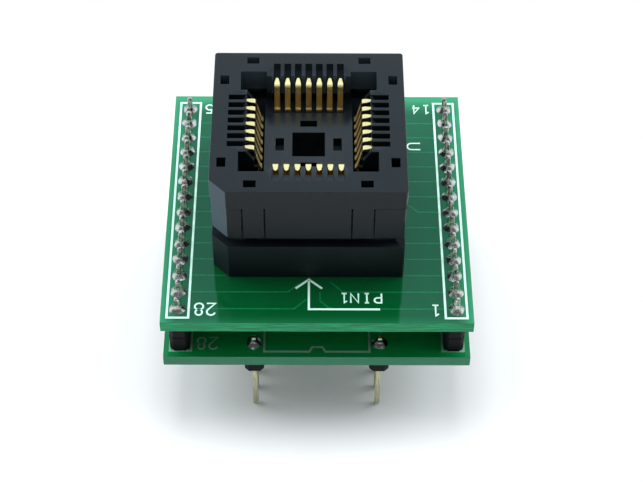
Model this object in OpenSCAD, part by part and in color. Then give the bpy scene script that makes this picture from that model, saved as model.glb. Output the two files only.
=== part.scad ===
// Programming adapter: an open-top test socket for a J-lead package on two stacked
// boards, with two rows of pins below that plug into a programmer's DIP socket.
// Origin at the middle of the boards, at the pin tips; +Z up, -Y is the front (arrow) edge.

/* [Boards] */
// Width of both boards, left to right
board_w = 37; // [35.8:0.1:48]
// Length of both boards, front to back
board_l = 37.5; // [36.6:0.1:50]
// Thickness of each board
board_t = 1.6; // [0.8:0.1:2.4]
// Distance of the pin rows' middle from the boards' middle, front to back
row_shift = -0.1; // [-0.9:0.02:0.9]

/* [Pin rows] */
// Pins in each row
row_pins = 14; // [10:1:14]
// Distance between neighbouring pins
pitch = 2.54; // [2.4:0.01:2.58]
// Distance between the two rows of link pins
link_rows = 33.02; // [32:0.02:33.4]
// Distance between the two rows of DIP pins
dip_rows = 15.24; // [7.62:0.02:18]
// Side of the square pins
pin_side = 0.64; // [0.4:0.02:0.8]
// Length of the taper at each pin end
pin_taper = 0.35; // [0.1:0.05:0.8]
// Height of one moulded pin strip
strip_h = 2.54; // [1.5:0.02:3.2]
// Width of a moulded pin strip
strip_w = 2.4; // [1.8:0.05:2.6]
// Depth of the break-off notch on each side between two pins
strip_notch = 0.5; // [0.1:0.05:0.6]
// Strips stacked between the boards
strip_stack = 2; // [1:1:3]
// Height of the link pins above the upper board
link_rise = 2.05; // [1.2:0.05:3]
// Length of the link pins below the lower board
link_drop = 1.3; // [1.1:0.05:2.5]
// Length of the DIP pins below their strip
dip_drop = 8.5; // [4:0.1:12]
// Height of the DIP pins above the lower board
dip_rise = 1.25; // [1.1:0.05:2]
// Play of a pin's corners in its round board hole
hole_play = 0.06; // [0.02:0.01:0.15]

/* [Solder] */
// Diameter of a solder joint on a board
joint_d = 1.9; // [1.5:0.05:2.2]
// Height of a solder joint on a board
joint_h = 1.0; // [0.6:0.05:1.1]
// Diameter of a solder joint on a contact tail
tail_joint_d = 1.15; // [0.95:0.05:1.3]
// Height of a solder joint on a contact tail
tail_joint_h = 0.55; // [0.3:0.05:0.65]
// Solder outside a pin's corners, below the joint's rim
solder_wall = 0.08; // [0.04:0.01:0.12]
// Height of the joint's rim, where the solder thins out on the pin
solder_rim = 0.15; // [0.05:0.01:0.2]

/* [Socket] */
// Place of the socket's middle from the boards' middle, left to right
socket_x = -1.06; // [-1.5:0.02:1.5]
// Place of the socket's middle from the boards' middle, front to back
socket_y = -0.36; // [-3:0.02:3]
// Width of the square plate that the package stands on
seat_w = 10.6; // [10.2:0.1:12]
// Thickness of the seat plate
seat_t = 1.2; // [0.8:0.1:1.4]
// Height of the seat plate above the base's combs
seat_rise = 0.35; // [0.2:0.05:0.8]
// Play around the seat plate between the combs
seat_play = 0.15; // [0.1:0.01:0.2]
// Width of the square hole through the seat plate and its tower
seat_hole_w = 3.9; // [2:0.1:4.6]
// Width of the tower that carries the seat plate
tower_w = 7.8; // [7:0.1:8.4]
// Thickness of a clip leg under the seat plate
clip_t = 0.5; // [0.4:0.05:0.7]
// Width of a clip leg
clip_w = 1.8; // [1.2:0.1:2.4]
// Length of a clip leg
clip_drop = 1.6; // [1.2:0.1:2.2]
// Height of the barb on a clip leg
barb_h = 0.6; // [0.4:0.05:0.8]
// Reach of the barb on a clip leg
barb_d = 0.95; // [0.5:0.05:1]
// Play of the clip legs on the tower
clip_play = 0.05; // [0.03:0.01:0.1]
// Width of the windows above the barbs
window_w = 2; // [1.4:0.1:2.6]
// Height of the base's flange
flange_h = 5.55; // [4.6:0.05:7]
// Height of the base's combs above the flange
comb_h = 5.2; // [5:0.05:7]
// Depth of the comb ribs behind the seat
rib_depth = 2.6; // [2.5:0.05:3.2]
// Wall of the base behind the combs
base_wall = 0.55; // [0.4:0.05:1]
// Leg of the slanted corner that marks lead 1
key_leg = 1.95; // [1:0.05:2.4]
// Radius of the other corners
corner_r = 0.35; // [0.1:0.05:0.8]

/* [Cover] */
// Travel of the cover when it is pushed down
stroke = 1.4; // [1:0.1:1.8]
// Thickness of the cover's frame
frame_t = 2.9; // [2:0.05:4]
// Wall of the cover's skirt
skirt_t = 0.8; // [0.6:0.05:1.2]
// Gap between the skirt and the base
skirt_gap = 0.25; // [0.1:0.05:0.4]
// Gap that is left under the cover when it is down
stop_gap = 0.15; // [0.1:0.05:0.5]
// Set-back of the corner blocks from the frame's faces
block_inset = 0.12; // [0.05:0.01:0.2]
// Width of the slits beside the latch legs and of the seam above the corner blocks
slit_w = 0.12; // [0.08:0.02:0.3]
// Depth of the seam above the corner blocks
seam_d = 0.35; // [0.25:0.05:0.45]
// Width of a latch leg
latch_w = 2.6; // [2.2:0.05:2.6]
// Width of a latch hook and of the window above it
hook_w = 1.45; // [1:0.05:1.6]
// Depth of a latch hook and of the window above it
hook_d = 1.05; // [0.7:0.05:1.2]
// Height of a latch hook
hook_h = 1.0; // [0.8:0.05:1.4]
// Height of the slope under a latch hook
hook_ramp = 0.6; // [0.3:0.05:0.7]
// Distance from a latch hook to the outer edge of its leg
hook_edge = 0.2; // [0.1:0.05:0.4]
// Play of a latch hook in its notch
latch_play = 0.05; // [0.03:0.01:0.08]
// Distance from the seat's edge to the mouth of the cover
mouth_gap = 2.05; // [1.9:0.05:2.2]
// Length of the contact slots from the mouth outwards
slot_l = 2.17; // [1.9:0.01:2.3]
// Length of the inner part of the slots, which goes right through the frame
slot_through = 0.6; // [0.5:0.05:0.8]
// Depth of the outer part of the slots
slot_d = 0.85; // [0.7:0.05:1]
// Depth of the corner pockets behind the mouth
pocket_d = 0.8; // [0.3:0.05:0.9]
// Reach of the lead-in ribs from the mouth inwards
guide_reach = 1.0; // [0.5:0.05:1.1]
// Width of a lead-in rib
guide_w = 0.6; // [0.4:0.05:0.7]
// Drop of the slope on a lead-in rib
guide_drop = 1.6; // [0.8:0.1:1.9]
// Distance from the outer contact slots to the lead-in ribs
guide_gap = 0.25; // [0.2:0.01:0.35]
// Width of the bars that open the contacts
pusher_w = 0.75; // [0.5:0.05:0.9]
// Slant at the back of a bar's nose
pusher_slant = 0.25; // [0.1:0.05:0.4]
// Overhang of a bar past the outer contact slots
pusher_over = 0.06; // [0.02:0.01:0.08]
// Play between the bars and the combs
pusher_play = 0.2; // [0.1:0.05:0.3]

/* [Contacts] */
// Contacts in each row
contact_n = 7; // [5:1:7]
// Distance between neighbouring contacts
contact_pitch = 1.27; // [1.2:0.01:1.3]
// Width of the contact strip
contact_w = 0.68; // [0.5:0.01:0.7]
// Thickness of the contact strip
contact_t = 0.2; // [0.15:0.01:0.26]
// Angle that the contacts swing outwards
swing = 9.5; // [7:0.5:10]
// Play of a contact in its slot, on each side
slot_play = 0.06; // [0.03:0.01:0.1]
// Distance from the seat's edge to the touching face of a closed contact
touch_gap = 0.18; // [0.15:0.01:0.4]
// Height of the touching face above the seat
touch_rise = 0.3; // [0.2:0.05:0.6]
// Height of the contact's top bend above the seat
bend_rise = 3.4; // [3:0.05:3.6]
// Distance from the seat's edge to the inside of the top bend
bend_gap = 0.96; // [0.8:0.02:1.1]
// Radius of the top bend
bend_r = 0.22; // [0.16:0.01:0.3]
// Lean of the contact below its top bend
lean = 13; // [8:1:16]
// Length of the tab at the top of a contact
tab_l = 1.25; // [0.8:0.05:1.3]
// Upward tilt of the tab
tab_tilt = 5; // [0:1:8]
// Length of the tab's narrowing end
tab_taper = 0.8; // [0.4:0.05:0.9]
// Width of the tab's end
tab_tip_w = 0.42; // [0.3:0.01:0.48]
// Depth of the foot that touches a lead
foot_d = 0.2; // [0.1:0.05:0.4]
// Height of the foot's slope above the touching face
foot_up = 0.25; // [0.2:0.05:0.5]
// Height of the foot below the touching face
foot_down = 0.4; // [0.3:0.05:0.5]
// Height of the contact's pivot above the flange
pivot_rise = 1.65; // [1.5:0.05:2]
// Distance from the seat's edge to the contact's pivot
pivot_gap = 1.6; // [1.4:0.05:1.8]
// Sideways step of the bends at the arm's root
root_step = 0.12; // [0.08:0.01:0.16]
// Height above the pivot at which the arm bends towards it
root_rise = 0.35; // [0.3:0.05:0.5]
// Distance from the pivot to the crank that carries the finger
root_l = 0.45; // [0.4:0.05:0.6]
// Drop of the crank below the pivot
crank_drop = 0.2; // [0.1:0.02:0.24]
// Rise of the finger's root above the pivot
crank_rise = 0.15; // [0.1:0.05:0.3]
// Length of the slope from the crank to the finger
finger_foot = 0.55; // [0.4:0.05:0.7]
// Height of the bars' noses above the pivots
nose_rise = 2.6; // [2.4:0.05:2.8]
// Play between a finger and its bar's nose
cam_play = 0.05; // [0.03:0.01:0.1]
// Length of a finger above the nose
finger_over = 0.25; // [0.15:0.05:0.4]
// Play behind an opened finger
finger_play = 0.12; // [0.08:0.01:0.2]
// Radius of the rolled bead at the pivot
bead_r = 0.3; // [0.22:0.02:0.34]
// Play between the bead and its cradle
bead_play = 0.06; // [0.03:0.01:0.1]
// Thickness of the cradle under the bead
cradle_t = 0.45; // [0.3:0.05:0.5]
// Distance from the cradle's rim up to the pivot
cradle_rim = 0.18; // [0.14:0.01:0.22]
// Depth of the arms' room below the pivots
room_drop = 0.9; // [0.85:0.05:1]
// Thickness of a contact stem
stem_t = 0.3; // [0.2:0.02:0.36]
// Height of the stems' sideways step above the board
step_rise = 3.3; // [2.6:0.1:3.6]
// Height at which a stem narrows to its tail
tail_top = 1.1; // [0.6:0.1:1.4]
// Width of a contact tail
tail_w = 0.4; // [0.3:0.02:0.46]
// Length of the tails below the upper board
tail_drop = 0.75; // [0.7:0.05:1.2]
// Sideways step of the tails, alternately in and out
tail_step = 1.27; // [1:0.01:1.4]

/* [Springs] */
// Outer diameter of a return spring
spring_d = 1.5; // [1.2:0.05:1.6]
// Wire of a return spring
spring_wire = 0.22; // [0.15:0.01:0.3]
// Turns of a return spring
spring_turns = 8; // [5:1:11]
// Play around a spring in its well
spring_play = 0.15; // [0.1:0.01:0.2]
// Distance from a spring's middle to the base's faces
spring_inset = 1.5; // [1.4:0.05:1.7]
// Height of a spring's foot above the flange
well_floor = 0.4; // [0.2:0.05:0.8]

/* [Hidden] */
$fn = 32;

LEFT = -1;
RIGHT = 1;
// Quarter turns that take the right-hand side of the socket to each side
SIDE_RIGHT = 0;
SIDE_REAR = 1;
SIDE_LEFT = 2;
SIDE_FRONT = 3;
SIDES = [SIDE_RIGHT, SIDE_REAR, SIDE_LEFT, SIDE_FRONT];
// Overshoot of a cut past the face that it opens
cut = 0.5;
// Straight pieces in a rounded corner, in a contact's bend and in the tip of its tab
corner_steps = 4;
bend_steps = 4;
tip_steps = 6;
// Angle that the round tip of a tab covers to each side
tip_angle = 70;

// Levels of the boards, from the pin tips up
dip_strip_z = dip_drop;
lower_z = dip_strip_z + strip_h;
lower_top = lower_z + board_t;
upper_z = lower_top + strip_stack * strip_h;
upper_top = upper_z + board_t;
pin_hole_d = pin_side * sqrt(2) + 2 * hole_play;
tail_hole_d = norm([tail_w, stem_t]) + 2 * hole_play;

// Levels of the socket, from the upper board up
comb_top = flange_h + comb_h;
seat_top = comb_top + seat_rise;
skirt_z = flange_h + stroke + stop_gap;
frame_z = comb_top + stroke + stop_gap;
cover_top = frame_z + frame_t;
pivot_z = flange_h + pivot_rise;

// Distances from the socket's middle, outwards
seat_half = seat_w / 2;
tower_half = tower_w / 2;
comb_r = seat_half + seat_play;
pivot_r = seat_half + pivot_gap;
touch_r = seat_half + touch_gap;
mouth_r = seat_half + mouth_gap;
channel_r = comb_r + rib_depth;
nose_r = channel_r + pusher_play + pusher_w;

// The bar's nose opens the contacts: its way past an arm, seen from the arm's pivot
function turned(p, a) = [p.x * cos(a) - p.y * sin(a), p.x * sin(a) + p.y * cos(a)];
function nose_way(part) =
    turned([nose_r - pivot_r, nose_rise - stroke * part], swing * part);
finger_tip = [nose_way(0).x + cam_play + contact_t, nose_way(0).y + finger_over];
channel_end = pivot_r + turned(finger_tip, -swing).x + finger_play;
base_half = channel_end + base_wall;
skirt_r = base_half + skirt_gap;
socket_half = skirt_r + skirt_t;

// Places along a side of the socket, from its middle
slot_w = contact_w + 2 * slot_play;
row_half = (contact_n - 1) / 2 * contact_pitch + slot_w / 2;
pusher_half = row_half + pusher_over;
guide_t = row_half + guide_gap;
latch_t = guide_t + guide_w;
latch_end = latch_t + latch_w;
hook_t = latch_end - hook_edge - hook_w / 2;
spring_r = base_half - spring_inset;
well_r = spring_d / 2 + spring_play;
well_z = flange_h + well_floor;

// Closed outline of a strip of the given thickness along a path
function unit(v) = v / norm(v);
function step_dir(path, i) = unit(path[i + 1] - path[i]);
function side_of(d) = [-d.y, d.x];
function offset_at(path, i) =
    i == 0 ? side_of(step_dir(path, 0)) :
    i == len(path) - 1 ? side_of(step_dir(path, i - 1)) :
    let (a = side_of(step_dir(path, i - 1)), m = unit(a + side_of(step_dir(path, i))))
    m / (m * a);
function strip_outline(path, t) = concat(
    [for (i = [0 : len(path) - 1]) path[i] + offset_at(path, i) * t / 2],
    [for (i = [len(path) - 1 : -1 : 0]) path[i] - offset_at(path, i) * t / 2]
);
function arc_points(centre, r, from, to, n) =
    [for (i = [0 : n]) centre + r * [cos(from + (to - from) * i / n), sin(from + (to - from) * i / n)]];

// Places of the pins in a row, front to back, and of the contacts along a side
function pin_y(i) = row_shift + (i - (row_pins - 1) / 2) * pitch;
function contact_y(i) = (i - (contact_n - 1) / 2) * contact_pitch;
function tail_r(i) = pivot_r + (i % 2 == 0 ? tail_step : -tail_step);

module along_row(x, z) {
    for (i = [0 : row_pins - 1])
        translate([x, pin_y(i), z])
            children();
}

module on_socket() {
    translate([socket_x, socket_y, upper_top])
        children();
}

// Turns children from the right-hand side of the socket to another side
module on_side(side) {
    rotate([0, 0, 90 * side])
        children();
}

module on_tails() {
    for (side = SIDES)
        on_side(side)
            for (i = [0 : contact_n - 1])
                translate([tail_r(i), contact_y(i), 0])
                    children();
}

module at_corners(r) {
    for (x = [-r, r], y = [-r, r])
        translate([x, y, 0])
            children();
}

// Block from a low to a high corner
module block(low, high) {
    translate(low)
        cube(high - low);
}

// Upright profile in the plane of r and z, given its width along the side
module profile(points, width) {
    rotate([90, 0, 0])
        linear_extrude(height = width, center = true)
            polygon(points);
}

// Boards

module board_plate(z) {
    translate([-board_w / 2, -board_l / 2, z])
        cube([board_w, board_l, board_t]);
}

module pin_holes(rows, z) {
    for (side = [LEFT, RIGHT])
        along_row(side * rows / 2, z - cut)
            cylinder(d = pin_hole_d, h = board_t + 2 * cut);
}

module upper_board() {
    color("seagreen")
        difference() {
            board_plate(upper_z);
            pin_holes(link_rows, upper_z);
            on_socket()
                on_tails()
                    translate([0, 0, -board_t - cut])
                        cylinder(d = tail_hole_d, h = board_t + 2 * cut);
        }
}

module lower_board() {
    color("seagreen")
        difference() {
            board_plate(lower_z);
            pin_holes(link_rows, lower_z);
            pin_holes(dip_rows, lower_z);
        }
}

// Pin strips, pins and solder joints

// Half outline of one cell of a break-off strip: straight flank with slanted notches
function strip_flank(side) = [for (i = [0 : row_pins - 1], k = [0 : 3])
    let (y = pin_y(i), w = strip_w / 2, h = pitch / 2)
    [side * (k == 1 || k == 2 ? w : w - strip_notch),
     y + [-h, -h + strip_notch, h - strip_notch, h][k]]];
function reversed(list) = [for (i = [len(list) - 1 : -1 : 0]) list[i]];

module pin_strip(x, z) {
    color("#202022")
        difference() {
            translate([x, 0, z])
                linear_extrude(height = strip_h)
                    polygon(concat(strip_flank(RIGHT), reversed(strip_flank(LEFT))));
            along_row(x, z + strip_h / 2)
                cube([pin_side, pin_side, strip_h + 2 * cut], center = true);
        }
}

// Square pin from z = 0 up, tapered at both ends
module square_pin(length) {
    tip = pin_side / 4;
    flank = [
        [-tip, 0], [tip, 0], [pin_side / 2, pin_taper], [pin_side / 2, length - pin_taper],
        [tip, length], [-tip, length], [-pin_side / 2, length - pin_taper], [-pin_side / 2, pin_taper]
    ];
    intersection() {
        profile(flank, pin_side);
        rotate([0, 0, 90])
            profile(flank, pin_side);
    }
}

module link_pins(side) {
    color("#d8c98a")
        along_row(side * link_rows / 2, lower_z - link_drop)
            square_pin(upper_top + link_rise - lower_z + link_drop);
}

module dip_pins(side) {
    color("#d8c98a")
        along_row(side * dip_rows / 2, 0)
            square_pin(lower_top + dip_rise);
}

// Concave solder cone around a pin, from z = 0 up
module solder_joint(d, h, pin_x, pin_y) {
    neck = norm([pin_x, pin_y]) / 2 + solder_wall;
    sag = 0.3;
    rim = 0.8;
    difference() {
        rotate_extrude()
            polygon([
                [0, 0], [d / 2, 0], [neck + (d / 2 - neck) * sag, h * sag],
                [neck, h - solder_rim], [neck * rim, h], [0, h]
            ]);
        cube([pin_x, pin_y, 2 * (h + cut)], center = true);
    }
}

module pin_solder(x, z, face) {
    color("#d4d6d8")
        along_row(x, z)
            mirror([0, 0, face < 0 ? 1 : 0])
                solder_joint(joint_d, joint_h, pin_side, pin_side);
}

module tail_solder() {
    color("#d4d6d8")
        on_socket()
            on_tails()
                translate([0, 0, -board_t])
                    mirror([0, 0, 1])
                        solder_joint(tail_joint_d, tail_joint_h, stem_t, tail_w);
}

// Socket outlines

function rounded_corner(half, r, from) =
    arc_points((half - r) * [sign(cos(from + 45)), sign(sin(from + 45))], r, from, from + 90, corner_steps);
function socket_outline(half, r, leg) = concat(
    rounded_corner(half, r, 0), rounded_corner(half, r, 90),
    [[-half, leg - half], [leg - half, -half]],
    rounded_corner(half, r, 270)
);
// Leg and radius of the corners on an outline that lies inside the socket's by a wall
least_leg = 0.2;
least_r = 0.05;
function inner_leg(wall) = max(key_leg - wall * (2 - sqrt(2)), least_leg);
function inner_r(wall) = max(corner_r - wall, least_r);

module socket_prism(wall, z0, z1) {
    translate([0, 0, z0])
        linear_extrude(height = z1 - z0)
            polygon(socket_outline(socket_half - wall, inner_r(wall), inner_leg(wall)));
}

// Seat plate

module seat_plate() {
    color("#26262a")
        on_socket() {
            difference() {
                translate([0, 0, seat_top - seat_t / 2])
                    cube([seat_w, seat_w, seat_t], center = true);
                translate([0, 0, seat_top])
                    cube([seat_hole_w, seat_hole_w, 2 * (seat_t + cut)], center = true);
                for (side = SIDES)
                    on_side(side)
                        block([tower_half - barb_d, -window_w / 2, seat_top - seat_t - cut],
                              [tower_half + clip_play, window_w / 2, seat_top + cut]);
            }
            for (side = SIDES)
                on_side(side)
                    seat_clip();
        }
}

// Leg under the seat plate with a barb that holds it to the base's tower
module seat_clip() {
    leg_r = tower_half + clip_play;
    top = seat_top - seat_t;
    profile([
        [leg_r, top], [leg_r, top - clip_drop + barb_h], [leg_r - barb_d, top - clip_drop + barb_h],
        [leg_r, top - clip_drop], [leg_r + clip_t, top - clip_drop], [leg_r + clip_t, top]
    ], clip_w);
}

// Socket base

module socket_base() {
    color("#1c1c1f")
        on_socket()
            difference() {
                union() {
                    socket_prism(0, 0, flange_h);
                    base_core();
                }
                for (side = SIDES)
                    on_side(side) {
                        contact_room();
                        latch_room(1);
                        latch_room(-1);
                    }
                at_corners(spring_r)
                    translate([0, 0, well_z])
                        cylinder(r = well_r, h = comb_top);
            }
}

// Combs around the seat's well, and the tower that carries the seat plate
module base_core() {
    well = comb_r;
    pocket_z = seat_top - seat_t - clip_drop;
    difference() {
        socket_prism(skirt_t + skirt_gap, flange_h - cut, comb_top);
        block([-well, -well, flange_h], [well, well, comb_top + cut]);
        at_corners((comb_r + mouth_r) / 2)
            translate([0, 0, (pocket_z + comb_top) / 2 + cut])
                cube([mouth_r - comb_r + 2 * seat_play, mouth_r - comb_r + 2 * seat_play,
                      comb_top - pocket_z + 2 * cut], center = true);
    }
    base_tower();
}

module base_tower() {
    top = seat_top - seat_t;
    barb_top = top - clip_drop + barb_h;
    difference() {
        block([-tower_half, -tower_half, flange_h - cut], [tower_half, tower_half, top]);
        block([-seat_hole_w / 2, -seat_hole_w / 2, flange_h],
              [seat_hole_w / 2, seat_hole_w / 2, top + cut]);
        for (side = SIDES)
            on_side(side)
                block([tower_half - barb_d - clip_play, -clip_w / 2 - clip_play, top - clip_drop - clip_play],
                      [tower_half + cut, clip_w / 2 + clip_play, barb_top + clip_play]);
    }
}

// Room for a row of contacts and for the bar that opens them
module contact_room() {
    arm_z = pivot_z - room_drop;
    room_z = pivot_z + nose_rise - stroke - stop_gap;
    block([channel_r, -row_half - guide_gap / 2, room_z],
          [channel_end, row_half + guide_gap / 2, comb_top + cut]);
    for (i = [0 : contact_n - 1])
        translate([0, contact_y(i), 0]) {
            block([comb_r - cut, -slot_w / 2, arm_z], [channel_end, slot_w / 2, comb_top + cut]);
            block([min(tail_r(i), pivot_r) - stem_t, -slot_w / 2, -cut],
                  [max(tail_r(i), pivot_r) + stem_t, slot_w / 2, arm_z + cut]);
        }
}

// Notch under the ledge that a latch hook catches
module latch_room(dir) {
    hook_in = skirt_r - hook_d;
    top = skirt_z + hook_h + latch_play;
    translate([0, dir * hook_t, 0])
        block([hook_in - 2 * latch_play, -hook_w / 2 - 2 * latch_play, flange_h],
              [skirt_r, hook_w / 2 + 2 * latch_play, top]);
}

// Cover

module socket_cover() {
    color("#1a1a1d")
        on_socket() {
            difference() {
                cover_shell();
                cover_mouth();
                for (side = SIDES)
                    on_side(side) {
                        slots();
                        for (dir = [-1, 1])
                            translate([0, dir * hook_t, 0])
                                block([skirt_r - hook_d, -hook_w / 2, frame_z - cut],
                                      [skirt_r, hook_w / 2, cover_top + cut]);
                    }
            }
            for (side = SIDES)
                on_side(side) {
                    pusher_bar();
                    for (dir = [-1, 1]) {
                        latch_hook(dir);
                        lead_in_rib(dir);
                    }
                }
        }
}

// Frame with its skirt, whose corner blocks stand back and whose latch legs are slit free
module cover_shell() {
    difference() {
        socket_prism(0, skirt_z, cover_top);
        socket_prism(skirt_t, skirt_z - cut, frame_z);
        for (side = SIDES)
            on_side(side)
                for (dir = [-1, 1])
                    for (t = [latch_t, latch_end])
                        translate([0, dir * t, 0])
                            block([skirt_r - cut, -slit_w / 2, skirt_z - cut],
                                  [socket_half + cut, slit_w / 2, frame_z]);
        corner_band(block_inset, skirt_z - cut, frame_z);
        corner_band(seam_d, frame_z - slit_w, frame_z);
    }
}

// Layer of the given depth on the outside of the corner blocks
module corner_band(depth, low, high) {
    difference() {
        socket_prism(-cut, low, high);
        socket_prism(depth, low - cut, high + cut);
        for (side = SIDES)
            on_side(side)
                block([0, -latch_end, low - cut], [socket_half + 2 * cut, latch_end, high + cut]);
    }
}

// Square mouth with a pocket in each corner
module cover_mouth() {
    pocket = mouth_r + pocket_d;
    low = frame_z - cut;
    high = cover_top + cut;
    block([-mouth_r, -mouth_r, low], [mouth_r, mouth_r, high]);
    at_corners((latch_t + pocket) / 2)
        translate([0, 0, (low + high) / 2])
            cube([pocket - latch_t, pocket - latch_t, high - low], center = true);
}

// Slots that open to the mouth: their inner part lets the contacts through, their outer part has a floor
module slots() {
    for (i = [0 : contact_n - 1])
        translate([0, contact_y(i), 0]) {
            block([mouth_r - cut, -slot_w / 2, frame_z - cut],
                  [mouth_r + slot_through, slot_w / 2, cover_top + cut]);
            block([mouth_r - cut, -slot_w / 2, cover_top - slot_d],
                  [mouth_r + slot_l, slot_w / 2, cover_top + cut]);
        }
}

// Bar under the slots, with a blunt nose, that wedges the contacts open
module pusher_bar() {
    back = nose_r - pusher_w;
    nose_z = pivot_z + nose_rise;
    profile([
        [nose_r, nose_z], [nose_r, frame_z], [back, frame_z],
        [back, nose_z + pusher_slant], [back + pusher_slant, nose_z]
    ], 2 * pusher_half);
}

module latch_hook(dir) {
    translate([0, dir * hook_t, 0])
        profile([
            [skirt_r, skirt_z], [skirt_r, skirt_z + hook_h], [skirt_r - hook_d, skirt_z + hook_h],
            [skirt_r - hook_d, skirt_z + hook_ramp]
        ], hook_w);
}

// Rib beside a row that guides the package in, with a slope at its top
module lead_in_rib(dir) {
    inner = mouth_r - guide_reach;
    translate([0, dir * (guide_t + guide_w / 2), 0])
        profile([
            [mouth_r, frame_z], [mouth_r, cover_top], [inner, cover_top - guide_drop], [inner, frame_z]
        ], guide_w);
}

// Return springs, each a wire swept along a coil with flat closed ends

spring_sides = 6;
spring_steps = 12;
function coil_z(turn, low, high) =
    let (closed = 1, live = spring_turns - 2 * closed, span = high - low - 2 * closed * spring_wire)
    turn < closed ? low + turn * spring_wire :
    turn > closed + live ? high - (spring_turns - turn) * spring_wire :
    low + closed * spring_wire + (turn - closed) / live * span;
function coil_ring(turn, low, high) = let (a = 360 * turn, r = (spring_d - spring_wire) / 2)
    [for (k = [0 : spring_sides - 1]) let (b = 360 * k / spring_sides, w = r + spring_wire / 2 * cos(b))
        [w * cos(a), w * sin(a), coil_z(turn, low, high) + spring_wire / 2 * sin(b)]];

module coil_spring(low, high) {
    rings = spring_turns * spring_steps;
    points = [for (i = [0 : rings]) each
        coil_ring(i / spring_steps, low + spring_wire / 2, high - spring_wire / 2)];
    walls = [for (i = [0 : rings - 1], k = [0 : spring_sides - 1])
        let (n = (k + 1) % spring_sides, a = i * spring_sides, b = a + spring_sides)
        [a + k, b + k, b + n, a + n]];
    first = [for (k = [0 : spring_sides - 1]) k];
    last = [for (k = [spring_sides - 1 : -1 : 0]) rings * spring_sides + k];
    polyhedron(points, concat([first], walls, [last]));
}

module cover_springs() {
    color("silver")
        on_socket()
            at_corners(spring_r)
                coil_spring(well_z, frame_z);
}

// Contacts

// Middle line of an arm, from its tab down to the pivot and out to the finger's tip
bend_x = seat_half + bend_gap + contact_t / 2;
tab_end = bend_x + tab_l;
arm_line = let (
    top = [bend_x, seat_top + bend_rise],
    touch = [touch_r + contact_t / 2, seat_top + touch_rise],
    pivot = [pivot_r, pivot_z],
    push = [cam_play + contact_t / 2, 0],
    finger_x = nose_way(1).x
) concat(
    [[tab_end, top.y + tab_l * tan(tab_tilt)]],
    arc_points(top + [bend_r, -bend_r], bend_r, 90 + tab_tilt, 180 + lean, bend_steps),
    [touch + [foot_d, foot_up], touch, touch + [root_step, -foot_down]],
    [pivot + [-root_step, root_rise], pivot],
    [pivot + [root_l, -crank_drop], pivot + [finger_x - finger_foot, -crank_drop]],
    [pivot + [finger_x - root_step, crank_rise]],
    [for (part = [1, 0.5, 0]) pivot + nose_way(part) + push],
    [pivot + [nose_way(0).x, finger_tip.y] + push]
);

module contact_arm() {
    intersection() {
        union() {
            profile(strip_outline(arm_line, contact_t), contact_w);
            translate([pivot_r, 0, pivot_z])
                rotate([90, 0, 0])
                    cylinder(r = bead_r, h = contact_w, center = true);
        }
        union() {
            block([0, -contact_w, 0], [socket_half, contact_w, seat_top + touch_rise]);
            linear_extrude(height = 2 * cover_top)
                polygon(concat(
                    [[0, contact_w / 2], [0, -contact_w / 2], [tab_end - tab_taper, -contact_w / 2]],
                    arc_points([tab_end - tab_tip_w / 2, 0], tab_tip_w / 2, -tip_angle, tip_angle, tip_steps),
                    [[tab_end - tab_taper, contact_w / 2]]
                ));
        }
    }
}

module contact_arms(side) {
    color("#c9a24a")
        on_socket()
            on_side(side)
                for (i = [0 : contact_n - 1])
                    translate([0, contact_y(i), 0])
                        contact_arm();
}

// Fixed stem with a round cradle under the bead, a step and a tail through the board
module contact_stem(step_r) {
    head = bead_r + bead_play;
    neck_z = pivot_z - bead_r - cradle_t;
    difference() {
        union() {
            block([pivot_r - head, -contact_w / 2, neck_z],
                  [pivot_r + stem_t / 2, contact_w / 2, pivot_z - cradle_rim]);
            profile(strip_outline([
                [pivot_r, neck_z + stem_t], [pivot_r, step_rise + tail_step / 2],
                [step_r, step_rise - tail_step / 2], [step_r, tail_top]
            ], stem_t), contact_w);
            block([step_r - stem_t / 2, -tail_w / 2, -board_t - tail_drop],
                  [step_r + stem_t / 2, tail_w / 2, tail_top]);
        }
        translate([pivot_r, 0, pivot_z])
            rotate([90, 0, 0])
                cylinder(r = bead_r + bead_play, h = 2 * contact_w, center = true);
    }
}

module contact_stems(side) {
    color("#b08d3c")
        on_socket()
            on_side(side)
                for (i = [0 : contact_n - 1])
                    translate([0, contact_y(i), 0])
                        contact_stem(tail_r(i));
}

upper_board();
lower_board();
pin_strip(LEFT * link_rows / 2, lower_top + strip_h);  // upper_strip_left
pin_strip(RIGHT * link_rows / 2, lower_top + strip_h);  // upper_strip_right
pin_strip(LEFT * link_rows / 2, lower_top);  // lower_strip_left
pin_strip(RIGHT * link_rows / 2, lower_top);  // lower_strip_right
link_pins(LEFT);  // link_pins_left
link_pins(RIGHT);  // link_pins_right
pin_solder(LEFT * link_rows / 2, upper_top, 1);  // top_solder_left
pin_solder(RIGHT * link_rows / 2, upper_top, 1);  // top_solder_right
pin_solder(LEFT * link_rows / 2, lower_z, -1);  // bottom_solder_left
pin_solder(RIGHT * link_rows / 2, lower_z, -1);  // bottom_solder_right
pin_strip(LEFT * dip_rows / 2, dip_strip_z);  // dip_strip_left
pin_strip(RIGHT * dip_rows / 2, dip_strip_z);  // dip_strip_right
dip_pins(LEFT);  // dip_pins_left
dip_pins(RIGHT);  // dip_pins_right
pin_solder(LEFT * dip_rows / 2, lower_top, 1);  // dip_solder_left
pin_solder(RIGHT * dip_rows / 2, lower_top, 1);  // dip_solder_right
socket_base();
seat_plate();
socket_cover();
cover_springs();
contact_arms(SIDE_FRONT);  // contact_arms_front
contact_arms(SIDE_RIGHT);  // contact_arms_right
contact_arms(SIDE_REAR);  // contact_arms_rear
contact_arms(SIDE_LEFT);  // contact_arms_left
contact_stems(SIDE_FRONT);  // contact_stems_front
contact_stems(SIDE_RIGHT);  // contact_stems_right
contact_stems(SIDE_REAR);  // contact_stems_rear
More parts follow.
